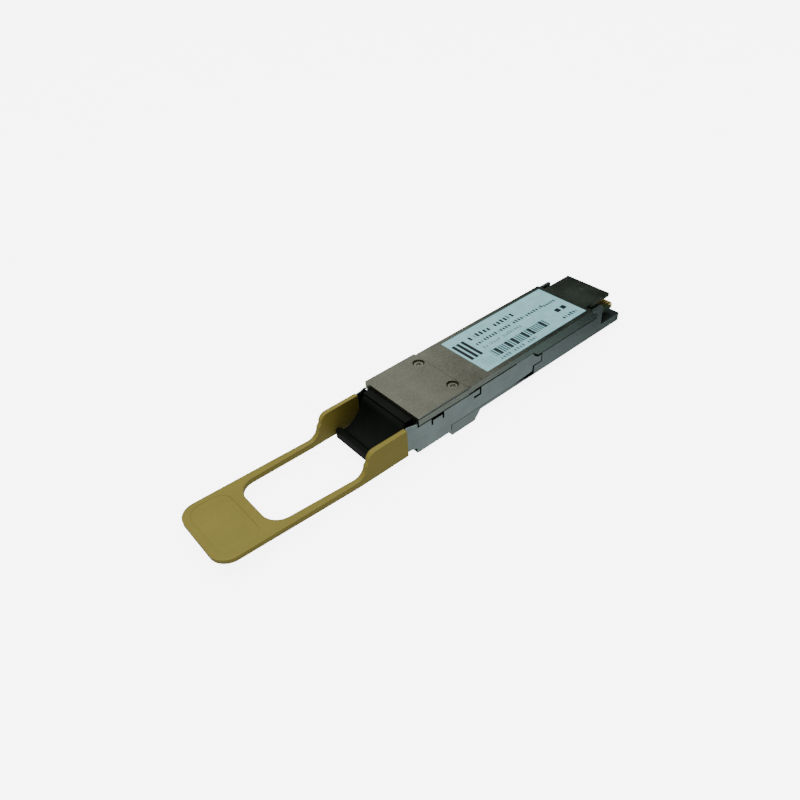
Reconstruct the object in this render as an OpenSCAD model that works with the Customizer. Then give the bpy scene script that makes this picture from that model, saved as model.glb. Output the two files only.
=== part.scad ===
// Pluggable optical transceiver module with pull tab and dust plug, in millimetres.
// Modules are drawn with the head's front face at X 0, the body running to +X and its underside at Z 0.
// place() then moves everything so that Z 0 is the lowest face and X 0 the middle of the length.

/* [Body] */
// Width of the body across its side walls
body_w = 18.35; // [16:0.05:22.1]
// Height of the body from underside to cover top
body_h = 8.5; // [8:0.05:10.3]
// Length from the head's front face to the rear lip
body_l = 72.4; // [66:0.1:90]
// Thickness of the side walls at the rear
wall_t = 0.875; // [0.7:0.005:1.1]
// Thickness of the cover's roof
roof_t = 1.0; // [0.8:0.05:1.2]
// Thickness of the housing's floor
floor_t = 1.0; // [0.8:0.05:1.5]
// Thickness of the front walls behind the slider
front_wall_t = 1.1; // [0.9:0.05:1.4]
// Height of the seam between cover flange and housing at the rear
seam_z = 5.3; // [4.9:0.05:6.4]
// Thickness of the cover's side flange
flange_t = 0.4; // [0.3:0.05:0.5]
// Clearance between the cover's flange and the housing's wall behind it
flange_gap = 0.04; // [0.03:0.01:0.1]
// Width of the visible seam under the flange
seam_gap = 0.1; // [0.05:0.05:0.2]

/* [Head] */
// Length of the raised plate on the head
head_l = 15.15; // [14:0.05:17]
// How much wider than the body the head is in all
head_extra_w = 0.35; // [0.1:0.05:0.6]
// Height of the head plate above the body's top
head_rise = 0.25; // [0.1:0.05:0.5]
// Depth of the head's side band below the body's top
band_h = 1.9; // [1.7:0.05:2.2]
// Where the side band ends and the cover's edge steps up
band_l = 17.3; // [16.5:0.1:18.3]
// Depth of the belly block below the body
belly_drop = 2.4; // [2.1:0.1:3]
// Where the belly block starts
belly_x = 9.9; // [9.8:0.1:11]
// Length of the belly block's flat underside
belly_l = 7.4; // [6:0.1:9]
// Length of the belly block's rear slope
belly_slope = 1.9; // [1.5:0.1:2.5]
// Side overlap of the head block behind the belly
head_block_l = 19.2; // [18.5:0.1:21]

/* [Port] */
// Width of the optical port
port_w = 12.6; // [10.4:0.1:12.8]
// Depth of the port up to the back of the receptacle
port_depth = 11.5; // [11:0.1:13]
// Height of the port's floor above the body's underside
port_floor_z = -0.15; // [-0.3:0.05:0]
// Thickness of the head's floor under the port
head_floor_t = 0.6; // [0.5:0.05:0.8]
// Thickness of the roof over the port
port_roof_t = 1.3; // [1.1:0.05:1.6]

/* [Screws] */
// Distance of the cover screws from the head's front face
screw_x = 13.5; // [13:0.1:14]
// Distance between the two cover screws
screw_pitch = 11.6; // [11:0.1:13.9]
// Diameter of a screw's head
screw_head_d = 2.2; // [2:0.1:2.6]
// Height of a screw's head
screw_head_h = 0.55; // [0.45:0.05:0.7]
// Diameter of a screw's shank
screw_d = 1.4; // [1.2:0.1:1.6]
// Length of a screw under its head
screw_l = 4.6; // [4:0.1:5.5]
// Depth of the pocket that holds a screw's head
screw_pocket = 0.95; // [0.8:0.05:1.1]

/* [Rear] */
// Width of the narrow shroud over the edge connector
shroud_w = 13.68; // [12:0.02:14.5]
// Distance from the shroud's end to the rear lip's end
shroud_back = 2.3; // [1.5:0.1:3]
// Length of the rear lip behind the side walls
lip_l = 7.9; // [7:0.1:9.5]
// Height of the rear lip
lip_h = 2.4; // [1.5:0.1:2.6]
// Distance from the cover flange's end to the side walls' end
flange_back = 2.2; // [1.5:0.1:3]
// Distance from the cover's shoulders to the side walls' end
shoulder_back = 4.4; // [3.2:0.1:5]
// How far the side walls' rear ends stay below the cover's top
wall_drop = 0.5; // [0.3:0.1:1]

/* [Circuit board] */
// Clearance between card edge and side wall
card_gap = 0.09; // [0.05:0.01:0.15]
// Thickness of the circuit board
card_t = 1.0; // [0.9:0.05:1.1]
// Height of the board's underside
card_z = 4.65; // [4.4:0.05:4.7]
// Distance from the board's front edge to the head's front face
board_x = 23.5; // [22:0.1:26]
// Distance from the card's edge to the rear lip's end
card_back = 1.6; // [0.5:0.1:2]
// Bevel at the card's two rear corners
card_bevel = 0.8; // [0.5:0.1:1.2]
// Number of edge contacts on each face
contact_n = 19; // [11:2:21]
// Spacing of the edge contacts
contact_pitch = 0.8; // [0.7:0.05:0.84]
// Width of an edge contact
contact_w = 0.54; // [0.4:0.02:0.6]
// Length of an edge contact
contact_l = 2.6; // [2:0.1:3]

/* [Release slider] */
// Thickness of the slider's sheet metal
sheet_t = 0.4; // [0.3:0.01:0.5]
// Clearance between slider and housing
slide_gap = 0.1; // [0.06:0.01:0.15]
// How far the slider stands out beyond the body's side
slide_proud = 0.025; // [0:0.005:0.05]
// Distance from the head's front face to the slider's tail end
slider_l = 40.5; // [36:0.1:45]
// Length of the slider's narrow tail tongue
tail_l = 3.0; // [2:0.1:4]
// Travel of the slider when the tab is pulled
travel = 2.0; // [1:0.1:2.2]
// Height of the slider's lower edge along the body
slider_low_z = 0.9; // [0.7:0.05:1.2]
// Length of the slider's deep front part behind the head's face
slider_front_l = 9.7; // [9.3:0.05:9.75]
// Distance between the two slits in the slider's upper edge
slit_pitch = 3.35; // [3:0.05:3.8]
// Distance of the first slit from the head's front face
slit_x = 4.0; // [3.6:0.1:4.6]
// Width of the slits
slit_w = 0.5; // [0.25:0.05:0.6]
// Gap above the slider's upper edge
top_gap = 0.3; // [0.1:0.05:0.35]
// Gap round the slider's tail
tail_gap = 0.35; // [0.1:0.05:0.4]

/* [Springs] */
// Outside diameter of a return spring
spring_d = 1.5; // [1.2:0.05:1.6]
// Diameter of the spring wire
spring_wire = 0.22; // [0.15:0.01:0.25]
// Number of turns in a spring
spring_turns = 7; // [5:1:9]
// Distance from the head's front face to the spring's front seat
spring_x = 3.0; // [2.8:0.1:3.6]

/* [Pull tab] */
// Distance from the tab's tip to the head's front face
tab_reach = 50; // [44:0.5:60]
// Thickness of the tab's upright arms
tab_arm_t = 1.25; // [1.2:0.05:1.6]
// Height of the tab's upright arms
tab_arm_h = 7.3; // [6.5:0.1:7.6]
// Gap between the tab's arms and the head's front face
tab_gap = 3.3; // [3:0.1:4.5]
// Where the upright arms have come down to the strips
tab_drop_x = 17.6; // [16.5:0.1:19]
// Thickness of the grip at its tip
grip_t = 1.1; // [0.9:0.05:1.6]
// Length of the grip from the tip to the window
grip_l = 13; // [10:0.5:16]
// Height of the grip's top above the body's underside, at its tip
grip_z = 2.85; // [2:0.05:4]
// Corner radius of the grip
grip_r = 4; // [2:0.5:6]
// Width of the strips beside the window at the grip
strip_w = 1.95; // [1.5:0.05:2.5]
// Depth of the panel sunk into the grip
panel_d = 0.12; // [0.05:0.01:0.2]

/* [Dust plug] */
// Width of the plug's flange
plug_w = 14.6; // [13.5:0.1:15]
// Thickness of the plug's flange
plug_flange_t = 2.1; // [1.5:0.1:2.3]
// Length of the plug's finger scoop in front of the flange
scoop_l = 9.0; // [7:0.1:10]
// Clearance of the plug in the port
plug_gap = 0.05; // [0.03:0.01:0.1]
// Length of the plug inside the port
plug_in = 7.0; // [6:0.1:7.5]

/* [Optics] */
// Height of the optical axis
axis_z = 3.6; // [3.5:0.05:3.8]
// Width of the ferrule
ferrule_w = 6.4; // [6:0.1:7]
// Height of the ferrule
ferrule_h = 2.5; // [2.3:0.05:2.7]
// Distance from the head's front face to the ferrule's face
ferrule_x = 6.2; // [6:0.1:7]
// Diameter of a guide pin
pin_d = 0.7; // [0.6:0.02:0.76]
// Distance between the guide pins
pin_pitch = 4.6; // [4.2:0.1:4.8]
// Width of the fibre ribbon
ribbon_w = 3.1; // [2.6:0.1:3.2]
// Thickness of the fibre ribbon
ribbon_t = 0.3; // [0.25:0.01:0.34]
// Height of the lens block
lens_h = 1.6; // [1.4:0.05:1.7]
// Height of the chips that need cooling
chip_h = 1.1; // [0.8:0.05:1.3]
// Thickness of the gap pad over those chips
pad_t = 0.5; // [0.3:0.05:0.6]

/* [Label] */
// Length of the label
label_l = 36.3; // [30:0.1:37]
// Width of the label
label_w = 15.7; // [13:0.1:15.8]
// Thickness of the label
label_t = 0.1; // [0.05:0.01:0.15]
// Distance from the head's front face to the label
label_x = 22.7; // [20:0.1:24]
// Clearance round the label in its shallow recess
label_gap = 0.1; // [0.05:0.05:0.3]

/* [Hidden] */
half = body_w / 2;
head_half = half + head_extra_w / 2;
head_top = body_h + head_rise;
band_z = body_h - band_h;
skirt_z = band_z + 0.3;
out_y = half + slide_proud;
in_y = out_y - sheet_t;
rec_y = in_y - slide_gap;
cav_front = rec_y - front_wall_t;
cav_rear = half - wall_t;
lip_y = half - flange_t;
flange_wall = lip_y - flange_gap;
tail_wall = min(rec_y, flange_wall);
roof_z = body_h - roof_t;
head_bot = port_floor_z - head_floor_t;
port_half = port_w / 2;
port_top = head_top - port_roof_t;
bridge_top = head_bot - slide_gap - 0.05;
bridge_bot = bridge_top - sheet_t;
wall_end = body_l - lip_l;
shroud_end = body_l - shroud_back;
flange_end = wall_end - flange_back;
cover_end = wall_end - shoulder_back;
wall_top = body_h - wall_drop;
card_half = cav_rear - card_gap;
card_end = body_l - card_back;
card_top = card_z + card_t;
rear_x = slider_l + 1.5;
tail_x = slider_l - tail_l;
slide_z = skirt_z - top_gap;
front_z = band_z - top_gap;
low_z = slider_low_z - slide_gap;
notch_y = port_half + 0.5;
spring_y = (notch_y + rec_y) / 2;
spring_z = head_bot + (rec_y - notch_y) / 2;
spring_end = slider_front_l - 0.15 - sheet_t;
chamber = ferrule_w / 2 + 1.0;
boss_z = card_top + chip_h + pad_t;
slit2_x = slit_x + slit_pitch;
tongue_z = front_z - 0.6;
arm_y = (ferrule_w / 2 + port_half) / 2 - 0.35;
tab_bot = -0.1;
tab_top = tab_bot + tab_arm_h;
neck_out = out_y - 0.42;
neck_in = neck_out - sheet_t;
arm_in = out_y - tab_arm_t;
window_x = tab_reach - grip_l;
win_half = out_y - strip_w;
plug_bot = head_bot + 0.05;
plug_top = head_top - 1.0;
plug_half = plug_w / 2;
scoop_x = plug_flange_t + scoop_l;
pin_bore = pin_d + 0.04;
ribbon_z = card_top + 0.9;
lens_x = board_x + 3.1;
eps = 0.02;

// A box between two corners
module blk(x0, x1, y0, y1, z0, z1) translate([x0, y0, z0]) cube([x1 - x0, y1 - y0, z1 - z0]);

// A box centred across the body
module mid(x0, x1, y, z0, z1) blk(x0, x1, -y, y, z0, z1);

// The same piece on both sides
module sides() {
    children();
    mirror([0, 1, 0]) children();
}

// A side profile in X and Z, made y1 - y0 thick
module slab(pts, y0, y1) translate([0, y1, 0]) rotate([90, 0, 0]) linear_extrude(y1 - y0) polygon(pts);

// Rounds one lengthwise lower edge at y, z by radius r when subtracted
module edge_cut(x0, x1, y, z, r) difference() {
    blk(x0, x1, y - r, y + 1, z - 1, z + r);
    translate([x0 - 1, y - r, z + r]) rotate([0, 90, 0]) cylinder(r = r, h = x1 - x0 + 2, $fn = 32);
}

// Points of an arc in the plane
function arc(cx, cz, r, a0, a1, n) = [for (i = [0:n]) let (a = a0 + (a1 - a0) * i / n)
    [cx + r * cos(a), cz + r * sin(a)]];

// Half outline of the slider's recess: x positions and heights shared by housing and cover
function hook(g) = [[tail_x - 0.3 + g, skirt_z], [tail_x + 0.4 + g, seam_z + 0.5 + g],
    [tail_x + 1.7 + g, seam_z - 0.4 + g], [slider_l + g, seam_z - 0.4 + g]];

module top_cover() {
    color([0.55, 0.56, 0.55]) difference() {
        union() {
            mid(0, head_l, head_half, band_z, head_top);
            mid(head_l - eps, band_l, half, band_z, body_h);
            mid(band_l - eps, cover_end, half, skirt_z, body_h);
            slab([for (p = hook(tail_gap)) p, [slider_l + tail_gap, seam_z], [flange_end, seam_z],
                [flange_end, skirt_z - 0.5], [cover_end + 0.6, skirt_z + 0.2], [cover_end - 1, skirt_z + 0.2],
                [tail_x - 0.2, skirt_z + eps]], lip_y, half);
            slab([for (p = hook(tail_gap)) p, [slider_l + tail_gap, seam_z], [flange_end, seam_z],
                [flange_end, skirt_z - 0.5], [cover_end + 0.6, skirt_z + 0.2], [cover_end - 1, skirt_z + 0.2],
                [tail_x - 0.2, skirt_z + eps]], -half, -lip_y);
            mid(cover_end - eps, shroud_end, shroud_w / 2, roof_z, body_h);
            mid(cover_end - 1.2, cover_end, cav_rear - 0.3, card_top + 0.1, roof_z + eps);
        }
        mid(-1, port_depth, port_half, band_z - 1, port_top);
        mid(port_depth - eps, 16.5, chamber, band_z - 1, roof_z - 0.2);
        mid(16.5, rear_x, cav_front, band_z - 1, roof_z);
        mid(rear_x - eps, cover_end - 1.2, cav_rear, band_z - 1, roof_z);
        mid(tail_x + 0.1, wall_end + 1, lip_y, skirt_z - 2.5, skirt_z + 0.15);
        sides() translate([screw_x, screw_pitch / 2, head_top - screw_pocket])
            cylinder(d = screw_head_d + 0.7, h = 2, $fn = 48);
        sides() translate([screw_x, screw_pitch / 2, band_z - 1]) cylinder(d = screw_d + 0.2, h = 5, $fn = 32);
        sides() blk(-1, head_l + 1, head_half - 0.25, head_half + 1, body_h - 0.12, body_h + 0.08);
        mid(head_l, head_l + 0.2, half + 1, body_h - 0.1, body_h + 1);
        mid(label_x - label_gap, label_x + label_l + label_gap, label_w / 2 + label_gap, body_h - label_t, body_h + 1);
    }
    color([0.55, 0.56, 0.55]) difference() {
        mid(cover_end - 1.2, cover_end, cav_rear - 0.3, card_top + 0.1, roof_z + 0.1);
        mid(cover_end - 2, cover_end + 1, 1, card_top, card_top + 0.1);
    }
    color([0.55, 0.56, 0.55]) mid(rear_x + 1, rear_x + 15, 4.6, boss_z, roof_z + eps);
}

module bottom_housing() {
    color([0.5, 0.56, 0.58]) difference() {
        union() {
            mid(0, head_block_l, rec_y, head_bot, band_z);
            mid(band_l, tail_x + 0.2, rec_y, 0, skirt_z);
            slab([[belly_x, -belly_drop], [belly_x + belly_l, -belly_drop],
                [belly_x + belly_l + belly_slope, 0], [belly_x + belly_l + belly_slope, low_z],
                [belly_x, low_z]], -out_y, out_y);
            mid(belly_x + belly_l, wall_end, half, 0, low_z);
            mid(tail_x, wall_end, rec_y, 0, seam_z - seam_gap);
            sides() slab([[tail_x + tail_gap, 0], [wall_end, 0], [wall_end, seam_z - seam_gap],
                [slider_l + tail_gap, seam_z - seam_gap], [slider_l + tail_gap, seam_z - 2.3 - tail_gap],
                [tail_x + tail_gap, seam_z - 2.3 - tail_gap]], cav_rear, half);
            mid(tail_x + 0.2 - eps, slider_l + tail_gap, tail_wall, seam_z - 1, skirt_z + 0.1);
            mid(slider_l + tail_gap - eps, wall_end, flange_wall, seam_z - 1, skirt_z + 0.1);
            mid(wall_end - eps, body_l, half, 0, lip_h);
            // Raised ends of the side walls behind the cover's shoulders
            sides() blk(cover_end + 0.1, wall_end, cav_rear, flange_wall, seam_z - 1, wall_top);
            sides() slab([[flange_end + 0.1, seam_z - 1], [wall_end, seam_z - 1], [wall_end, wall_top],
                [cover_end + 0.1, wall_top], [cover_end + 0.1, skirt_z + 0.35], [cover_end + 0.65, skirt_z + 0.35],
                [flange_end + 0.1, skirt_z - 0.4]], cav_rear, half);
        }
        mid(-1, port_depth, port_half, port_floor_z, body_h);
        mid(port_depth - eps, 16.5, chamber, 1.0, body_h);
        mid(16.5, rear_x, cav_front, floor_t, body_h);
        mid(rear_x - eps, wall_end - 1.2, cav_rear, floor_t, body_h);
        mid(wall_end - 1.2 - eps, wall_end + 1, cav_rear, card_z - 0.1, body_h);
        sides() blk(spring_x, belly_x, notch_y, rec_y + 1, head_bot - 1, spring_z + (rec_y - notch_y) / 2);
        sides() blk(slit_x + slit_w / 2 - travel, slit2_x + 0.5, rec_y - 0.8, rec_y + 1,
            tongue_z - 1.5, tongue_z + 0.25);
        // Groove under the slider's rising lower edge
        sides() slab([[tail_x - 7.5, low_z + 0.1], [tail_x - 1.5, 0.35], [tail_x + tail_gap, 0.35],
            [tail_x + tail_gap, low_z + 1]], rec_y - 0.6, half + 1);
        sides() blk(band_l - 0.5, band_l + 2.5, rec_y - 0.6, rec_y + 1, 4.5, band_z - 0.3);
        sides() translate([screw_x, screw_pitch / 2, band_z - screw_l]) cylinder(d = screw_d + 0.04, h = 9, $fn = 32);
        sides() blk(board_x - 3.5, tail_x - 1, (cav_front + rec_y) / 2 - 0.2, (cav_front + rec_y) / 2 + 0.2,
            skirt_z - 0.35, skirt_z + 1);
    }
    // Ledges that the board's edges rest on
    color([0.5, 0.56, 0.58]) sides() blk(board_x, rear_x, cav_front - 0.7, cav_front + 0.3, 0.5, card_z);
    color([0.5, 0.56, 0.58]) sides() blk(rear_x, wall_end - 1, cav_rear - 0.7, cav_rear + 0.3, 0.5, card_z);
    // Boss that takes the heat of the controller
    color([0.5, 0.56, 0.58]) mid(rear_x + 2, rear_x + 9, 3.2, 0.5, card_z - 1.4);
}

module cover_screws() color([0.75, 0.75, 0.72]) sides() translate([screw_x, screw_pitch / 2, 0]) difference() {
    union() {
        translate([0, 0, head_top - screw_pocket]) cylinder(d = screw_head_d, h = screw_head_h, $fn = 48);
        translate([0, 0, band_z - screw_l + 0.3])
            cylinder(d = screw_d, h = head_top - screw_pocket - band_z + screw_l - 0.2, $fn = 32);
    }
    translate([0, 0, head_top - screw_pocket + screw_head_h - 0.35]) for (i = [0:2])
        rotate(i * 60) translate([-0.75, -0.17, 0]) cube([1.5, 0.34, 1]);
}

module label() color([0.75, 0.85, 0.86]) mid(label_x, label_x + label_l, label_w / 2,
    body_h - label_t, body_h);

module slider_side() {
    difference() {
        union() {
            slab([[-0.5, bridge_bot], [slider_front_l, bridge_bot], [slider_front_l, slider_low_z],
                [tail_x - 7, slider_low_z], [tail_x - 0.2, slider_low_z + 0.5], [tail_x, seam_z - 2.3],
                [slider_l, seam_z - 2.3], [slider_l, seam_z - 0.4], [tail_x + 1.7, seam_z - 0.4],
                [tail_x + 0.4, seam_z + 0.5], [tail_x - 0.3, skirt_z - 0.06], [tail_x - 6, skirt_z - 0.06],
                [tail_x - 6.2, slide_z], [band_l + 2.1, slide_z],
                [band_l + 2.1, front_z], [-0.5, front_z]], in_y, out_y);
            translate([0, 0, 0.5]) linear_extrude(front_z + 1.05 - 0.5) polygon([[-0.3, out_y], [-0.9, out_y],
                [-2.2, neck_out], [-tab_gap + 0.05, neck_out], [-tab_gap + 0.05, neck_in], [-2.4, neck_in],
                [-1.1, in_y], [-0.3, in_y]]);
            blk(-tab_gap - 4.4, -tab_gap + 0.1, neck_in, neck_out, tab_bot + 1.5, tab_top - 1.0);
            blk(-0.5, slider_front_l, -eps, in_y + eps, bridge_bot, bridge_top);
        }
        blk(slit_x - slit_w / 2, slit_x + slit_w / 2, in_y - 1, out_y + 1, front_z - 1.8, body_h);
        blk(slit2_x - slit_w / 2, slit2_x + slit_w / 2, in_y - 1, out_y + 1, front_z - 1.8, body_h);
        blk(slit_x, slit2_x, in_y - 1, out_y + 1, tongue_z, body_h);
        blk(band_l + 1.6, band_l + 2.1, in_y - 1, out_y + 1, front_z - 1.6, body_h);
        blk(band_l - 0.3, band_l + 2.1, in_y - 1, out_y + 1, front_z - 1.85, front_z - 1.3);
        edge_cut(-1, slider_front_l + 1, out_y, bridge_bot, 0.5);
    }
    // Tongue that rides in the housing's pocket and stops the travel
    blk(slit_x + slit_w / 2 + 0.1, slit2_x - slit_w / 2 - 0.1, in_y - 0.7, in_y + eps, tongue_z - 0.4, tongue_z);
    // Lug that the return spring pushes on
    blk(spring_end, spring_end + sheet_t, notch_y + 0.15, in_y + eps, head_bot + 0.15, spring_z + 0.8);
}

module delatch_slider() color([0.52, 0.58, 0.6]) sides() slider_side();

module coil(s) translate([spring_x + 0.05, s * spring_y, spring_z]) rotate([0, 90, 0])
    linear_extrude(height = spring_end - spring_x - 0.1, twist = -360 * spring_turns, slices = spring_turns * 18)
    polygon([for (i = [0:15]) let (a = i * 22.5, p = (spring_end - spring_x - 0.1) / spring_turns,
        t = cos(a) * spring_wire / 2 / p * 360, r = (spring_d - spring_wire) / 2 + sin(a) * spring_wire / 2)
        [r * cos(t), r * sin(t)]]);

module return_spring_left() color([0.7, 0.72, 0.74]) coil(1);

module return_spring_right() color([0.7, 0.72, 0.74]) coil(-1);

// Height of the tab's top surface at distance d in front of the head
function tab_z(d) = grip_z - (tab_reach - d) * 0.04;

module pull_tab() color([0.62, 0.58, 0.33]) difference() {
    slab([[-tab_gap, tab_bot], [-tab_gap, tab_top], for (p = arc(-tab_gap - 8.6, tab_top - 2.1, 2.1, 90, 180, 8)) p,
        for (p = arc(-tab_drop_x, tab_z(tab_drop_x) + 2.9, 2.9, -4, -88, 10)) p,
        [-tab_reach, grip_z], [-tab_reach, grip_z - grip_t], [-tab_drop_x + 0.6, tab_bot]], -out_y, out_y);
    // Window, narrowing from the arms to the grip
    translate([0, 0, -5]) linear_extrude(20) polygon([[0, -arm_in], [0, arm_in], [-14, arm_in],
        for (p = arc(-window_x + grip_r, win_half - grip_r, grip_r, 90, 180, 8)) p,
        for (p = arc(-window_x + grip_r, grip_r - win_half, grip_r, 180, 270, 8)) p, [-14, -arm_in]]);
    // Rounded corners of the tip
    sides() difference() {
        blk(-tab_reach - 1, -tab_reach + grip_r, out_y - grip_r, out_y + 1, -5, 10);
        translate([-tab_reach + grip_r, out_y - grip_r, -6]) cylinder(r = grip_r, h = 20, $fn = 64);
    }
    // Sunk panel on the grip
    intersection() {
        slab([[-tab_reach, tab_z(tab_reach) - panel_d], [0, tab_z(0) - panel_d], [0, 12], [-tab_reach, 12]], -20, 20);
        linear_extrude(20) polygon([
            for (p = arc(-tab_reach + 1.6 + 3.2, out_y - 1.3 - 3.2, 3.2, 90, 180, 6)) p,
            for (p = arc(-tab_reach + 1.6 + 3.2, 1.3 + 3.2 - out_y, 3.2, 180, 270, 6)) p,
            for (p = arc(-window_x - 2.2 - 3.2, 1.3 + 3.2 - out_y, 3.2, 270, 360, 6)) p,
            for (p = arc(-window_x - 2.2 - 3.2, out_y - 1.3 - 3.2, 3.2, 0, 90, 6)) p]);
    }
    // Slots that the slider's necks are moulded into
    sides() blk(-tab_gap - 4.4 - eps, 0, neck_in - 0.03, neck_out + 0.03, tab_bot + 1.5 - 0.03, tab_top - 1.0 + 0.03);
}

module dust_plug() color([0.07, 0.08, 0.08]) {
    mid(-plug_flange_t - 0.05, -0.05, plug_half, plug_bot, plug_top);
    slab([[-2, plug_bot + 0.1], [-2, plug_top - 0.5], [-plug_flange_t - 0.4, plug_top - 0.9],
        for (p = arc(-scoop_x + 1.2, plug_top + 0.2, 7.2, -14, -74, 12)) p,
        [-scoop_x + 2.2, plug_bot + 1.75], [-scoop_x + 1.6, plug_bot + 2.5], [-scoop_x + 1.1, plug_bot + 3.0],
        [-scoop_x + 0.5, plug_bot + 3.1], [-scoop_x + 0.15, plug_bot + 2.8], [-scoop_x, plug_bot + 2.3],
        [-scoop_x, plug_bot + 0.5], [-scoop_x + 0.4, plug_bot + 0.1]], 0.2 - plug_half, plug_half - 0.2);
    difference() {
        mid(-0.05 - eps, plug_in, port_half - plug_gap, port_floor_z + plug_gap, port_top - plug_gap);
        mid(3.7, plug_in + 1, ferrule_w / 2 + 0.35, axis_z - ferrule_h / 2 - 0.4, axis_z + ferrule_h / 2 + 0.4);
        sides() blk(2.4, plug_in + 1, arm_y - 0.6, port_half + 1, axis_z - 1.7, axis_z + 1.7);
    }
}

module optical_receptacle() color([0.12, 0.12, 0.13]) {
    difference() {
        mid(port_depth - 2.45, port_depth - 0.05, port_half - 0.05, port_floor_z + 0.05, port_top - 0.05);
        mid(port_depth - 3, port_depth + 1, ferrule_w / 2 + 0.15, axis_z - ferrule_h / 2 - 0.1, axis_z + ferrule_h / 2 + 0.1);
    }
    sides() blk(3.2, port_depth - 2.4, arm_y, arm_y + 0.7, axis_z - 1.1, axis_z + 1.1);
    sides() slab([[3.2, axis_z - 1.1], [4.3, axis_z - 1.1], [4.3, axis_z + 1.1], [3.2, axis_z + 1.1]],
        arm_y - 0.45, arm_y + 0.1);
}

module mt_ferrule() color([0.2, 0.25, 0.22]) difference() {
    union() {
        mid(ferrule_x, port_depth + 1.7, ferrule_w / 2, axis_z - ferrule_h / 2, axis_z + ferrule_h / 2);
        mid(port_depth + 0.05, port_depth + 1.7, ferrule_w / 2 + 0.4, axis_z - ferrule_h / 2 - 0.4, axis_z + ferrule_h / 2 + 0.4);
    }
    sides() translate([0, pin_pitch / 2, axis_z]) rotate([0, 90, 0]) cylinder(d = pin_bore, h = 20, $fn = 32);
    mid(port_depth - 0.5, port_depth + 2, ribbon_w / 2 + 0.05, axis_z - ribbon_t / 2 - 0.05, axis_z + ribbon_t / 2 + 0.05);
}

module guide_pins() color([0.8, 0.8, 0.82]) sides() translate([ferrule_x - 2, pin_pitch / 2, axis_z])
    rotate([0, 90, 0]) cylinder(d = pin_d, h = port_depth + 4.8 - ferrule_x, $fn = 32);

module pin_clamp() color([0.68, 0.7, 0.72]) difference() {
    mid(port_depth + 1.75, port_depth + 3, ferrule_w / 2 + 0.3, axis_z - ferrule_h / 2 - 0.2, axis_z + ferrule_h / 2 + 0.2);
    sides() translate([0, pin_pitch / 2, axis_z]) rotate([0, 90, 0]) cylinder(d = pin_bore, h = 20, $fn = 32);
    mid(port_depth, port_depth + 4, ribbon_w / 2 + 0.1, axis_z - ribbon_t / 2 - 0.1, axis_z + ribbon_t / 2 + 0.1);
}

// Height of the ribbon's middle along its S-bend, from the ferrule up to the lens block
function ribbon_mid(u) = axis_z + (ribbon_z - axis_z) * u * u * (3 - 2 * u);

module fibre_ribbon() color([0.3, 0.65, 0.7]) slab(concat(
    [[port_depth - 0.4, axis_z - ribbon_t / 2]],
    [for (i = [0:12]) [port_depth + 3.6 + i / 12 * (board_x - port_depth - 4), ribbon_mid(i / 12) - ribbon_t / 2]],
    [[lens_x + 1.4, ribbon_z - ribbon_t / 2], [lens_x + 1.4, ribbon_z + ribbon_t / 2]],
    [for (i = [12:-1:0]) [port_depth + 3.6 + i / 12 * (board_x - port_depth - 4), ribbon_mid(i / 12) + ribbon_t / 2]],
    [[port_depth - 0.4, axis_z + ribbon_t / 2]]), -ribbon_w / 2, ribbon_w / 2);

module circuit_board() color([0.1, 0.35, 0.16]) translate([0, 0, card_z]) linear_extrude(card_t) polygon([
    [board_x, -cav_front + 0.1], [rear_x + 0.3, -cav_front + 0.1], [rear_x + 1.2, -card_half],
    [card_end - card_bevel, -card_half], [card_end, -card_half + card_bevel], [card_end, card_half - card_bevel],
    [card_end - card_bevel, card_half], [rear_x + 1.2, card_half], [rear_x + 0.3, cav_front - 0.1],
    [board_x, cav_front - 0.1]]);

module edge_contacts() color([0.85, 0.7, 0.3]) for (i = [0:contact_n - 1]) for (z = [card_z - 0.05, card_top])
    translate([card_end - 0.5 - contact_l, (i - (contact_n - 1) / 2) * contact_pitch - contact_w / 2, z])
    cube([contact_l, contact_w, 0.05]);

module lens_block() color([0.85, 0.75, 0.45]) difference() {
    mid(lens_x, lens_x + 6.4, 3.4, card_top, card_top + lens_h);
    mid(lens_x + 1.6, lens_x + 5.4, 2.4, card_top - 1, card_top + 0.5);
    mid(lens_x - 1, lens_x + 1.5, ribbon_w / 2 + 0.05, ribbon_z - ribbon_t / 2 - 0.05, ribbon_z + ribbon_t / 2 + 0.05);
    slab([[lens_x + 2.4, card_top + lens_h + 1], [lens_x + 2.4, card_top + 1.1], [lens_x + 3.4, card_top + lens_h + 0.1],
        [lens_x + 3.4, card_top + lens_h + 1]], -2.2, 2.2);
}

module laser_array() color([0.4, 0.4, 0.45]) blk(lens_x + 2.5, lens_x + 2.9, -2.0, -0.3, card_top, card_top + 0.2);

module photodiode_array() color([0.35, 0.35, 0.4]) blk(lens_x + 2.5, lens_x + 2.9, 0.3, 2.0, card_top, card_top + 0.2);

module laser_driver_chip() color([0.1, 0.1, 0.12]) blk(lens_x + 7.4, lens_x + 10.6, -5.4, -2.0, card_top, card_top + 0.8);

module receiver_chip() color([0.12, 0.12, 0.14]) blk(lens_x + 7.4, lens_x + 10.6, 2.0, 5.4, card_top, card_top + 0.8);

module retimer_chips() color([0.09, 0.09, 0.1]) for (x = [rear_x + 1.2, rear_x + 8.6])
    mid(x, x + 6, 3.0, card_top, card_top + chip_h);

module controller_chip() color([0.08, 0.08, 0.09]) mid(rear_x + 3, rear_x + 8, 2.5, card_z - 0.9, card_z);

module clock_crystal() color([0.8, 0.8, 0.78]) blk(rear_x + 10, rear_x + 12.5, -1, 1, card_z - 0.6, card_z);

module capacitors() color([0.65, 0.5, 0.35]) for (i = [-3.5:1:3.5])
    translate([cover_end - 2.6, i * 1.3 - 0.25, card_top]) cube([1.0, 0.5, 0.5]);

module thermal_pad_top() color([0.45, 0.55, 0.75]) mid(rear_x + 1.2, rear_x + 14.6, 3.6, card_top + chip_h, boss_z);

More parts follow.
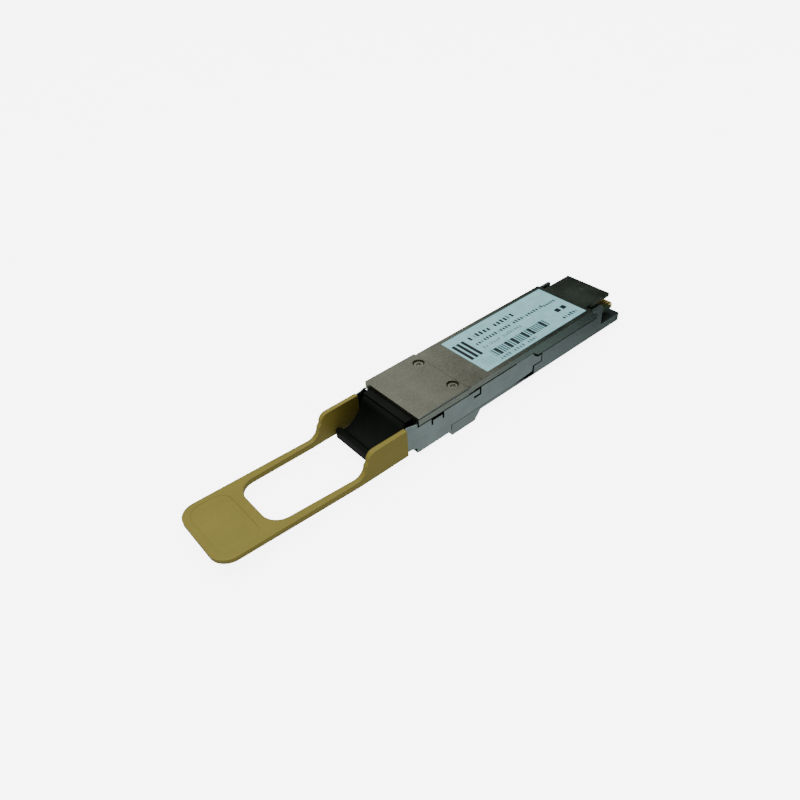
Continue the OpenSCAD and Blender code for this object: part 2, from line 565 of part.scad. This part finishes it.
module thermal_pad_bottom() color([0.45, 0.55, 0.75]) mid(rear_x + 3, rear_x + 8, 2.5, card_z - 1.4, card_z - 0.9);

module seam_gasket() color([0.25, 0.25, 0.27]) sides() blk(board_x - 3.4, tail_x - 1.1,
    (cav_front + rec_y) / 2 - 0.18, (cav_front + rec_y) / 2 + 0.18, skirt_z - 0.35, skirt_z);

// Moves the drawing into the part's frame
module place() translate([(tab_reach - body_l) / 2, 0, belly_drop]) children();

place() top_cover();
place() bottom_housing();
place() cover_screws();
place() label();
place() delatch_slider();
place() pull_tab();
place() return_spring_left();
place() return_spring_right();
place() dust_plug();
place() optical_receptacle();
place() mt_ferrule();
place() guide_pins();
place() pin_clamp();
place() fibre_ribbon();
place() circuit_board();
place() edge_contacts();
place() lens_block();
place() laser_array();
place() photodiode_array();
place() laser_driver_chip();
place() receiver_chip();
place() retimer_chips();
place() controller_chip();
place() clock_crystal();
place() capacitors();
place() thermal_pad_top();
place() thermal_pad_bottom();
place() seam_gasket();
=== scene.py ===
"""Optical transceiver module: finishes, softened edges, label print, moulded tab and dust plug."""
import functools
import math

import bmesh
import bpy
import numpy as np
from mathutils import Matrix, Vector


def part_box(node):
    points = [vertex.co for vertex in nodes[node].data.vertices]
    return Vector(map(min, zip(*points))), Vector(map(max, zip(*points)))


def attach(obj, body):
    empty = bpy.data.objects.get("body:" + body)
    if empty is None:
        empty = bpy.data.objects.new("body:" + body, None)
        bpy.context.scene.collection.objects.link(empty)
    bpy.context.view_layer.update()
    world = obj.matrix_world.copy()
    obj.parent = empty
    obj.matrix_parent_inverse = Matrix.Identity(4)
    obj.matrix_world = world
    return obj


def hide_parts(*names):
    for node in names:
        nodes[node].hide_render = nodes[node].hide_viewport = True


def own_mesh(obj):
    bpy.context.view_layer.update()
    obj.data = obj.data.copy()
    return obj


MM = 0.001
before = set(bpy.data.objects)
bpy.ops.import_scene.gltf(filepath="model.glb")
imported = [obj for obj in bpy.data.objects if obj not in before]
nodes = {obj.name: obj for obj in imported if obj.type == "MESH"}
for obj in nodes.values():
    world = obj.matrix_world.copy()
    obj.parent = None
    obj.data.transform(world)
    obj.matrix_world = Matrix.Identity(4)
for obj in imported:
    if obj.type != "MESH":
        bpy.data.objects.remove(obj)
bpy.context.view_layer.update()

# The drawing's own zero (head's front face, body's underside) in the frame, in millimetres.
# The slider hangs SLIDER_DROP under the body's underside.
SLIDER_DROP = 1.3
HEAD_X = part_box("bottom_housing")[0].x * 1000
UNDER_Z = (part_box("delatch_slider")[0].z + SLIDER_DROP * MM) * 1000
CARD_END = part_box("circuit_board")[1].x * 1000 - HEAD_X


# ---------------------------------------------------------------- shader maths

class Val:
    """A number socket; arithmetic on it adds Math nodes."""

    def __init__(self, mat, socket):
        self.mat, self.socket = mat, socket

    def _math(self, op, *terms):
        node = self.mat.add("ShaderNodeMath", {"operation": op}, dict(enumerate(terms)))
        return Val(self.mat, node.outputs[0])

    def __add__(self, o): return self._math("ADD", self, o)
    def __radd__(self, o): return self._math("ADD", o, self)
    def __sub__(self, o): return self._math("SUBTRACT", self, o)
    def __rsub__(self, o): return self._math("SUBTRACT", o, self)
    def __mul__(self, o): return self._math("MULTIPLY", self, o)
    def __rmul__(self, o): return self._math("MULTIPLY", o, self)
    def __truediv__(self, o): return self._math("DIVIDE", self, o)
    def __abs__(self): return self._math("ABSOLUTE", self)
    def __lt__(self, o): return self._math("LESS_THAN", self, o)
    def __gt__(self, o): return self._math("GREATER_THAN", self, o)
    def low(self, o): return self._math("MINIMUM", self, o)
    def high(self, o): return self._math("MAXIMUM", self, o)
    def floor(self): return self._math("FLOOR", self)
    def frac(self): return self._math("FRACT", self)

    def step(self, lo, hi):
        """Smooth 0 to 1 as the value goes from lo to hi."""
        n = self.mat.add("ShaderNodeMapRange", {"interpolation_type": "SMOOTHSTEP"},
                         {"Value": self, "From Min": lo, "From Max": hi,
                          "To Min": 0.0, "To Max": 1.0})
        return Val(self.mat, n.outputs["Result"])

    def between(self, lo, hi):
        """1 where the value lies from lo to hi, else 0."""
        return (self > lo) * (self < hi)


def union(masks):
    """1 where any of the masks is 1."""
    return functools.reduce(Val.high, masks)


class Finish:
    """A material under construction."""

    def __init__(self, name, **sockets):
        self.m = bpy.data.materials.new(name)
        self.m.use_nodes = True
        self.tree = self.m.node_tree
        self.tree.nodes.clear()
        self.out = self.tree.nodes.new("ShaderNodeOutputMaterial")
        self.bsdf = self.add("ShaderNodeBsdfPrincipled")
        self.set(**sockets)
        self.tree.links.new(self.bsdf.outputs[0], self.out.inputs[0])
        self.obj = self.add("ShaderNodeTexCoord").outputs["Object"]

    def add(self, kind, settings=None, inputs=None):
        """One node of any type: settings first, then values or links on its sockets."""
        n = self.tree.nodes.new(kind)
        for k, v in (settings or {}).items():
            setattr(n, k, v)
        for k, v in (inputs or {}).items():
            self.put(n.inputs[k], v)
        return n

    def put(self, socket, v):
        """A link, a colour or a plain value on one socket."""
        if isinstance(v, Val):
            v = v.socket
        if isinstance(v, bpy.types.NodeSocket):
            self.tree.links.new(v, socket)
        elif socket.type == "RGBA" and len(v) == 3:
            socket.default_value = (*v, 1)
        else:
            socket.default_value = v

    def noise(self, scale, detail=3.0, rough=0.55, stretch=(1, 1, 1)):
        """Noise on object coordinates; scale is in features per millimetre."""
        s = tuple(c * 1000 * scale for c in stretch)
        p = self.add("ShaderNodeMapping", {}, {"Vector": self.obj, "Scale": s}).outputs[0]
        n = self.add("ShaderNodeTexNoise", {},
                     {"Vector": p, "Scale": 1.0, "Detail": detail, "Roughness": rough})
        return Val(self, n.outputs["Fac"])

    def speckle(self, scale):
        """Distance to the nearest of scattered points; scale is in points per millimetre."""
        s = (1000 * scale,) * 3
        p = self.add("ShaderNodeMapping", {}, {"Vector": self.obj, "Scale": s}).outputs[0]
        n = self.add("ShaderNodeTexVoronoi", {"feature": "F1"}, {"Vector": p, "Scale": 1.0})
        return Val(self, n.outputs["Distance"])

    def placed(self):
        """Millimetres behind the head's face, along Y from the middle, and above the underside."""
        n = self.add("ShaderNodeSeparateXYZ", {}, {0: self.obj})
        x, y, z = [Val(self, o) * 1000.0 for o in n.outputs]
        return x - HEAD_X, y, z - UNDER_Z

    def with_painted_shade(self, colour, painted_shade):
        """Colour multiplied by each tone where its mask is 1: the tones are painted shade and
        painted reflection. The painted-shade function gives the pairs of mask and tone from the
        place on the piece, the same on either side of its middle."""
        if painted_shade:
            x, y, z = self.placed()
            for mask, tone in painted_shade(x, abs(y), z):
                colour = self.mix(mask, colour, tone, "MULTIPLY")
        return colour

    def mix(self, fac, a, b, blend="MIX"):
        """Colour mixed from a to b by fac."""
        n = self.add("ShaderNodeMix", {"data_type": "RGBA", "blend_type": blend},
                     {"Factor": fac, 6: a, 7: b})
        return n.outputs[2]

    def relief(self, height, depth):
        """Bump: height 0 to 1 stands depth millimetres out of the surface."""
        n = self.add("ShaderNodeBump", {},
                     {"Height": height, "Distance": depth * MM, "Strength": 1.0})
        self.put(self.bsdf.inputs["Normal"], n.outputs[0])

    def set(self, **sockets):
        """Values or links on the shader's own sockets; returns the material."""
        for k, v in sockets.items():
            self.put(self.bsdf.inputs[k.replace("_", " ")], v)
        return self.m


def grey(v, tint=(1, 1, 1)):
    """A colour from one brightness and a tint."""
    return tuple(v * t for t in tint)


# ---------------------------------------------------------------- finishes

def plated(name, dark, pale, rough=0.36, grain=1.0, painted_shade=None):
    """Nickel-plated die casting: mottled tone, orange-peel grain, soft clouds, rubbed marks."""
    f = Finish(name, Metallic=1.0)
    mottle, cloud, fine = f.noise(2.6, 5, 0.7), f.noise(0.16, 3), f.noise(7.0, 3)
    rub = f.noise(0.5, 7, 0.7, (0.35, 1, 1)).step(0.6, 0.72)
    tone = (mottle * 0.6 + cloud * 0.25 + fine * 0.15).step(0.36, 0.64)
    f.relief(mottle * 0.55 + fine * 0.45, 0.02 * grain)
    pits = f.speckle(2.2).step(0.16, 0.06) * f.noise(0.7).step(0.42, 0.55)
    lit = f.mix(rub * 0.3, f.mix(tone, dark, pale), grey(1.35, pale))
    # Painted shade from the given masks goes over the plating's own colour
    lit = f.with_painted_shade(f.mix(pits * 0.5, lit, grey(0.45, dark)), painted_shade)
    return f.set(Base_Color=lit,
                 Roughness=rough + (fine - 0.5) * 0.16 + (cloud - 0.5) * 0.14 + rub * 0.06)


def rolled(name, dark, pale, rough=0.3, painted_shade=None):
    """Rolled spring sheet: long soft rolling lines, clouds and small scuffs."""
    f = Finish(name, Metallic=1.0)
    lines, cloud, fine = f.noise(2.6, 4, 0.6, (0.06, 1, 1)), f.noise(0.2, 3), f.noise(5.0, 3)
    scuff = f.noise(1.0, 7, 0.7, (0.3, 1, 1)).step(0.6, 0.7)
    f.relief(lines * 0.6 + fine * 0.4, 0.008)
    lit = f.mix((lines * 0.45 + cloud * 0.4 + fine * 0.15).step(0.34, 0.66), dark, pale)
    # Painted shade from the given masks goes over the sheet's own colour
    lit = f.with_painted_shade(f.mix(scuff * 0.25, lit, grey(1.3, pale)), painted_shade)
    return f.set(Base_Color=lit, Roughness=rough + (lines - 0.5) * 0.2 + scuff * 0.1)


def moulded(name, dark, pale, rough=0.5, depth=0.01, scale=4.0, shine=0.5, dusty=0.2, painted_shade=None):
    """Moulded plastic or rubber: fine eroded texture, slow flow marks, rubs and dust specks."""
    f = Finish(name, Metallic=0.0, Specular_IOR_Level=shine)
    fine, flow = f.noise(scale, 4), f.noise(0.13, 4, 0.6, (0.5, 1, 1))
    rub = f.noise(0.6, 7, 0.7, (0.5, 1, 1)).step(0.58, 0.7)
    specks = f.speckle(1.1).step(0.11, 0.05) * f.noise(0.4).step(0.5, 0.6)
    f.relief(fine, depth)
    chalky = tuple(min(1, c * 1.5 + 0.02 * dusty) for c in pale)
    body = f.mix((flow * 0.6 + fine * 0.4).step(0.3, 0.7), dark, pale)
    # Painted shade from the given masks goes over the plastic's own colour
    body = f.with_painted_shade(f.mix(rub * 0.18 + specks * dusty, body, chalky), painted_shade)
    return f.set(Base_Color=body,
                 Roughness=rough + (fine - 0.5) * 0.2 + (flow - 0.5) * 0.12 + rub * 0.08)


def printed_label():
    """Satin film; its print is plain bars, squares and stripes, so nothing on it can be read."""
    f = Finish("label_print", Metallic=0.0, Specular_IOR_Level=0.3)
    x, y, _ = f.placed()
    smudge = f.noise(1.6, 4)

    def patch(x0, x1, y0, y1):
        """A filled rectangle."""
        return ((abs(x - (x0 + x1) / 2) < (x1 - x0) / 2)
                * (abs(y - (y0 + y1) / 2) < (y1 - y0) / 2))

    def hashed(u, seed):
        """A random number for each whole step of u."""
        p = f.add("ShaderNodeCombineXYZ", {}, {0: u.floor(), 1: 0.0, 2: seed})
        n = f.add("ShaderNodeTexWhiteNoise", {"noise_dimensions": "3D"}, {"Vector": p.outputs[0]})
        return Val(f, n.outputs["Value"])

    def row(seed, x0, x1, middle, half, pitch, dark):
        """Plain upright bars, pitch apart and of uneven height, in even groups. The row goes
        from x0 to x1 and half to each side of its middle line."""
        groups = (x / (pitch * 5.3) + seed * 0.37).frac() < 0.87
        across = abs((x / pitch).frac() - 0.42)
        height = 0.62 + hashed(x / pitch, seed) * 0.38
        up = (y - middle + half) / (2 * half)
        bar = (across < 0.27) * (up < height)
        return patch(x0, x1, middle - half, middle + half) * groups * bar * dark

    # Start, end, middle line, half height, pitch and darkness of each row
    layout = [(28.4, 45.2, 4.5, 0.85, 1.25, 1.0),
              (28.7, 53.3, 1.75, 0.6, 0.95, 1.0),
              (28.7, 42.6, -0.5, 0.5, 0.85, 0.6),
              (28.7, 41.2, -6.5, 0.55, 0.95, 0.75),
              (53.2, 57.3, 1.3, 0.5, 0.9, 0.95),
              (52.3, 57.4, -5.8, 0.6, 0.95, 1.0),
              (24.4, 27.6, -4.8, 1.9, 1.0, 0.2)]
    rows = [row(float(seed), *r) for seed, r in enumerate(layout, 1)]

    stripe_pitch, stripe_seed = 0.73, 9.0
    even = (x / stripe_pitch).frac() < 0.47
    odd = hashed(x / (stripe_pitch / 2), stripe_seed) > 0.72
    stripes = even.high(odd) * patch(28.7, 47.8, -5.5, -2.6)

    mark = [patch(x0, x0 + 0.9, -2.2, 5.0) for x0 in (23.4, 24.9, 26.4)]
    squares = [patch(x0, x0 + 1.5, -3.3, -1.8) for x0 in (53.4, 55.6)]
    ink = union(rows + [stripes] + mark + squares) * (0.9 + smudge * 0.2)

    paper = f.mix(f.noise(0.5, 4).step(0.3, 0.7), (0.27, 0.55, 0.59), (0.315, 0.61, 0.65))
    f.relief(f.noise(3.0, 3), 0.004)
    return f.set(Base_Color=f.mix(ink.low(1.0), paper, (0.006, 0.01, 0.011)),
                 Roughness=0.42 + (smudge - 0.5) * 0.15)


def masked_board(name, dark, pale, bare, bare_l=1.5):
    """Solder mask over copper, with parallel traces showing through as raised, paler lines. The
    last bare_l millimetres are plain weave."""
    f = Finish(name, Metallic=0.0, Coat_Weight=0.4, Coat_Roughness=0.2)
    x, y, _ = f.placed()
    trace = (y * 1.25 + f.noise(0.09, 1) * 3.0).frac() - 0.5
    line = (0.22 - abs(trace)).step(0.0, 0.05) * f.noise(0.12, 0).step(0.4, 0.5)
    f.relief(line * 0.8 + f.noise(4.0, 3) * 0.2, 0.02)
    skin = f.mix(line, f.mix(f.noise(0.8, 4), dark, grey(1.15, dark)), pale)
    weave = f.mix(f.noise(5.0, 3, 0.6, (1, 0.3, 1)), grey(0.8, bare), bare)
    return f.set(Base_Color=f.mix(x > CARD_END - bare_l, skin, weave),
                 Roughness=0.35 + (f.noise(3.0, 3) - 0.5) * 0.2)


def ribboned(name, dark, pale, fibres_per_mm=4.0):
    """Ribbon of fibres side by side under one clear skin."""
    f = Finish(name, Metallic=0.0, Coat_Weight=0.5, Coat_Roughness=0.15)
    _, y, _ = f.placed()
    fibre = abs((y * fibres_per_mm).frac() - 0.5) * 2.0
    f.relief(fibre, 0.05)
    return f.set(Base_Color=f.mix(fibre, dark, pale),
                 Roughness=0.35 + (f.noise(2.0, 3) - 0.5) * 0.2)


# ---------------------------------------------------------------- painted shade, by place on the piece

# Places that the painted shade follows, in millimetres as Finish.placed gives them
OUTER_Y = 9.1           # cover's and housing's side faces lie beyond this
SLIDER_END = 37.0       # cover's lower edge shows over the slider up to here
REAR_SEAM = (38.6, 62.2)    # flange seam behind the slider
HEAD_STEP = (15.08, 15.42)  # the drop behind the head, across the cover
HEAD_GROOVE = (8.34, 8.6)   # height of the line under the head's top edge
RECESS_Z = 0.3          # painted shadow in the slider's recess starts this far up


def cover_painted_shade(x, y, z):
    """Painted shade and painted reflection: cooler, darker side faces that darken further towards
    the rear, painted shadow along the seams over the slider and the flange, a painted shadow line
    in the head's groove and behind its step, and a rear end darkened by painted reflection."""
    side = y.step(9.08, 9.16)
    slider_seam = (y > OUTER_Y) * (z < 6.8) * (x < SLIDER_END)
    flange_seam = (y > OUTER_Y) * (z < 5.5) * x.between(*REAR_SEAM)
    groove = (y > 9.0) * z.between(*HEAD_GROOVE) * (x < 15.1)
    step_line = x.between(*HEAD_STEP) * (z > 8.3)
    # Each tone below is painted shade, none is a colour of the plating
    return [(side, (0.76, 0.87, 0.97)),
            (side * x.step(18.0, 30.0), (0.82, 0.86, 0.86)),
            (slider_seam, (0.15, 0.16, 0.16)),
            (flange_seam, (0.2, 0.21, 0.21)),
            (groove, (0.45, 0.46, 0.46)),
            (step_line, (0.38, 0.39, 0.39)),
            (x.step(20.0, 40.0), (0.72, 0.88, 0.9))]


def housing_painted_shade(x, y, z):
    """Painted shadow in the slider's recess and round its tails, painted shade on the rear lip's
    top under the card, and painted shade that darkens the housing towards the rear."""
    recess = y.between(8.0, 8.9) * (x < 41.2) * (z > RECESS_Z)
    tail = x.between(37.5, 38.0) * z.between(RECESS_Z, 3.0) * (y > 9.0)
    rear_lip = (x > 64.45) * z.between(2.3, 2.5)
    return [(recess.high(tail), (0.05, 0.055, 0.055)),
            (rear_lip, (0.4, 0.42, 0.4)),
            (x.step(34.0, 42.0), (0.9, 0.95, 0.95))]


def sheet_painted_shade(x, y, z):
    """Painted shadow on the sheet's edges and faces inside its outer face, and painted shade that
    darkens its rear end.
    """
    edge = (y < 9.13) * (z > 0.5) * (x > -0.2)
    return [(edge, (0.12, 0.13, 0.13)), (x.step(10.0, 38.0), (0.93, 0.96, 0.96))]


def tab_painted_shade(x, y, z):
    """Painted shade on the inner faces of the arms next to the plug, darkest towards the head."""
    return [((y < 8.1) * x.step(-16.0, -4.0), (0.35, 0.33, 0.3))]


# ---------------------------------------------------------------- one finish for each piece

WARM, COOL = (1.0, 1.03, 0.8), (0.8, 1.01, 0.98)

steel = plated("spring_steel", grey(0.42), grey(0.58), 0.24, 0.3)
black = moulded("black_plastic", (0.012, 0.012, 0.013), (0.025, 0.025, 0.027), 0.45, 0.012)
chip = moulded("chip_black", (0.01, 0.01, 0.011), (0.022, 0.022, 0.024), 0.55, 0.015, 7.0)
pad = moulded("gap_pad", (0.16, 0.24, 0.42), (0.21, 0.3, 0.5), 0.75, 0.03, 3.0, 0.3)
# The last argument of the cover's, housing's, slider's and tab's finishes paints shade on them
MATS = {
    "top_cover": plated("cover_plating", grey(0.235, WARM), grey(0.355, WARM), 0.29, 1.2,
                        cover_painted_shade),
    "bottom_housing": plated("housing_plating", grey(0.25, COOL), grey(0.34, COOL), 0.36, 1.0,
                             housing_painted_shade),
    "cover_screws": plated("screw_plating", grey(0.34, WARM), grey(0.48, WARM), 0.24, 0.5),
    "delatch_slider": rolled("slider_sheet", grey(0.28, COOL), grey(0.37, COOL), 0.3, sheet_painted_shade),
    "pull_tab": moulded("tab_plastic", (0.2, 0.168, 0.025), (0.242, 0.203, 0.033), 0.45, 0.012,
                        3.0, 0.3, 0.12, tab_painted_shade),
    "dust_plug": moulded("plug_rubber", (0.003, 0.0042, 0.0032), (0.006, 0.008, 0.006), 0.45,
                         0.012, 3.0, 0.09, 0.05),
    "label": printed_label(),
    # Near-black greens: the board's colour is darkened as painted shade, for the shadow it lies in
    # under the shroud
    "circuit_board": masked_board("board_laminate", (0.008, 0.026, 0.009), (0.02, 0.06, 0.018),
                                  (0.5, 0.43, 0.16)),
    "edge_contacts": plated("contact_gold", (0.62, 0.42, 0.11), (0.8, 0.58, 0.2), 0.22, 0.3),
    "fibre_ribbon": ribboned("ribbon_plastic", (0.03, 0.28, 0.3), (0.07, 0.45, 0.48)),
    "pin_clamp": rolled("clamp_sheet", grey(0.4), grey(0.5)),
    "mt_ferrule": moulded("ferrule_plastic", (0.05, 0.08, 0.07), (0.08, 0.12, 0.1), 0.4, 0.006,
                          6.0),
    "lens_block": moulded("lens_plastic", (0.5, 0.33, 0.09), (0.62, 0.42, 0.14), 0.12, 0.003,
                          2.0, 0.6, 0.05),
    "clock_crystal": rolled("crystal_can", grey(0.5), grey(0.62), 0.25),
    "capacitors": moulded("capacitor_ceramic", (0.36, 0.24, 0.13), (0.46, 0.32, 0.18), 0.5, 0.01,
                          5.0),
    "seam_gasket": moulded("gasket_rubber", (0.03, 0.03, 0.033), (0.05, 0.05, 0.054), 0.7, 0.02,
                           3.0, 0.3),
    "optical_receptacle": black,
    "return_spring_left": steel, "return_spring_right": steel, "guide_pins": steel,
    "laser_array": chip, "photodiode_array": chip, "laser_driver_chip": chip,
    "receiver_chip": chip, "retimer_chips": chip, "controller_chip": chip,
    "thermal_pad_top": pad, "thermal_pad_bottom": pad,
}
for name, obj in nodes.items():
    obj.data.materials.clear()
    obj.data.materials.append(MATS[name])


# ---------------------------------------------------------------- softened CAD pieces

WELD_STEPS = 2e6            # per metre: corners on the same half micrometre are one corner
FLAT = math.radians(1)      # faces nearer than this to one plane are joined
SHARP = math.radians(30)    # edges that turn more than this are rounded


def softened(node, width, segments=2, body="shell"):
    """A merged copy of the node's triangles. With a width in millimetres, coplanar triangles are
    joined and sharp edges rounded."""
    src = nodes[node].data
    co = np.empty(len(src.vertices) * 3)
    src.vertices.foreach_get("co", co)
    co = co.reshape(-1, 3)
    key, back = np.unique(np.round(co * WELD_STEPS).astype(np.int64), axis=0, return_inverse=True)
    pts = np.zeros((len(key), 3))
    pts[back.ravel()] = co
    tri = np.empty(len(src.loops), np.int32)
    src.loops.foreach_get("vertex_index", tri)
    tri = back.ravel()[tri].reshape(-1, 3)
    a, b, c = tri.T
    tri = tri[(a != b) & (b != c) & (c != a)]
    mesh = bpy.data.meshes.new(node + "_soft")
    mesh.from_pydata(pts.tolist(), [], tri.tolist())
    if width:
        bm = bmesh.new()
        bm.from_mesh(mesh)
        bmesh.ops.dissolve_limit(bm, angle_limit=FLAT, verts=bm.verts, edges=bm.edges)
        bm.to_mesh(mesh)
        bm.free()
    mesh.materials.append(MATS[node])
    mesh.polygons.foreach_set("use_smooth", [True] * len(mesh.polygons))
    obj = bpy.data.objects.new(node + "_soft", mesh)
    bpy.context.scene.collection.objects.link(obj)
    if width:
        bev = obj.modifiers.new("round_edges", "BEVEL")
        bev.width, bev.segments, bev.limit_method = width * MM, segments, "ANGLE"
        bev.angle_limit, bev.harden_normals = SHARP, True
    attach(obj, body)
    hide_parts(node)
    return obj


softened("top_cover", 0.08)
softened("bottom_housing", 0.08)
softened("delatch_slider", 0.05, body="latch")
softened("pull_tab", 0.3, 3, body="latch")
softened("dust_plug", 0.12, body="plug")
softened("cover_screws", 0.05)
for spring in ("return_spring_left", "return_spring_right"):
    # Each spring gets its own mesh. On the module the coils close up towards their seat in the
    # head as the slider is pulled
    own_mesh(softened(spring, 0))


# ---------------------------------------------------------------- camera, floor and light

def look(eye, azimuth, elevation, roll, lens):
    """Camera at eye. Azimuth 0 looks along +Y, elevation is how far it looks down, and roll
    turns it about its axis."""
    a, e = math.radians(azimuth), math.radians(elevation)
    back = Vector((math.sin(a) * math.cos(e), -math.cos(a) * math.cos(e), math.sin(e)))
    level = Vector((math.cos(a), math.sin(a), 0))
    right = Matrix.Rotation(math.radians(roll), 3, back) @ level
    up = back.cross(right)
    cam = bpy.data.cameras.new("camera")
    cam.lens, cam.sensor_width = lens, 36
    cam.clip_start, cam.clip_end = 0.005, 30
    obj = bpy.data.objects.new("camera", cam)
    turn = Matrix((right, up, back)).transposed().to_4x4()
    obj.matrix_world = Matrix.Translation(eye) @ turn
    bpy.context.scene.collection.objects.link(obj)
    bpy.context.scene.camera = obj


def panel(name, eye, aim, size, power):
    """A rectangular light at eye that faces aim."""
    light = bpy.data.lights.new(name, "AREA")
    light.shape, light.size, light.size_y = "RECTANGLE", size[0], size[1]
    light.energy = power
    obj = bpy.data.objects.new(name, light)
    obj.location = eye
    obj.rotation_mode = "QUATERNION"
    obj.rotation_quaternion = (Vector(aim) - Vector(eye)).to_track_quat("-Z", "Y")
    bpy.context.scene.collection.objects.link(obj)


def sheet_object(name, corners, mat):
    """A flat sheet of the studio, which is no part of the module."""
    mesh = bpy.data.meshes.new(name)
    mesh.from_pydata(corners, [], [(0, 1, 2, 3)])
    mesh.materials.append(mat)
    obj = bpy.data.objects.new(name, mesh)
    bpy.context.scene.collection.objects.link(obj)
    return obj


look((-0.08151, -0.09462, 0.1075), azimuth=-37.61, elevation=39.37, roll=-4.7, lens=30.757)

# Paper floor that shines for the camera only
FLOOR = 4       # metres from the middle to each edge
floor = Finish("floor_paper", Metallic=0.0, Roughness=0.9, Emission_Strength=6.5)
paper = floor.mix(floor.noise(0.05), (0.9, 0.9, 0.9), (0.94, 0.94, 0.94))
floor.set(Base_Color=paper, Emission_Color=paper)
ground = sheet_object("floor", [(-FLOOR, -FLOOR, 0), (FLOOR, -FLOOR, 0),
                                (FLOOR, FLOOR, 0), (-FLOOR, FLOOR, 0)], floor.m)
ground.visible_glossy = ground.visible_diffuse = False

# Black cloth behind the card's end, seen only in the metal
FLAG_X, FLAG_Y, FLAG_Z = 0.6, (-1.5, 0.58), (-0.44, 1.1)
flag = Finish("flag_cloth", Metallic=0.0, Roughness=0.95)
flag.set(Base_Color=flag.mix(flag.noise(0.3), (0.008, 0.008, 0.009), (0.012, 0.012, 0.014)))
cloth = sheet_object("dark_flag", [(FLAG_X, FLAG_Y[i], FLAG_Z[j])
                                   for i, j in ((0, 0), (1, 0), (1, 1), (0, 1))], flag.m)
cloth.visible_camera = cloth.visible_shadow = cloth.visible_diffuse = False

world = bpy.data.worlds.new("studio")
world.use_nodes = True
sky = world.node_tree.nodes["Background"].inputs
sky["Color"].default_value = (1.0, 1.0, 1.0, 1)
sky["Strength"].default_value = 0.6
bpy.context.scene.world = world
panel("top_softbox", (0.0, 0.0, 0.9), (0, 0, 0), (0.8, 0.8), 6.5)
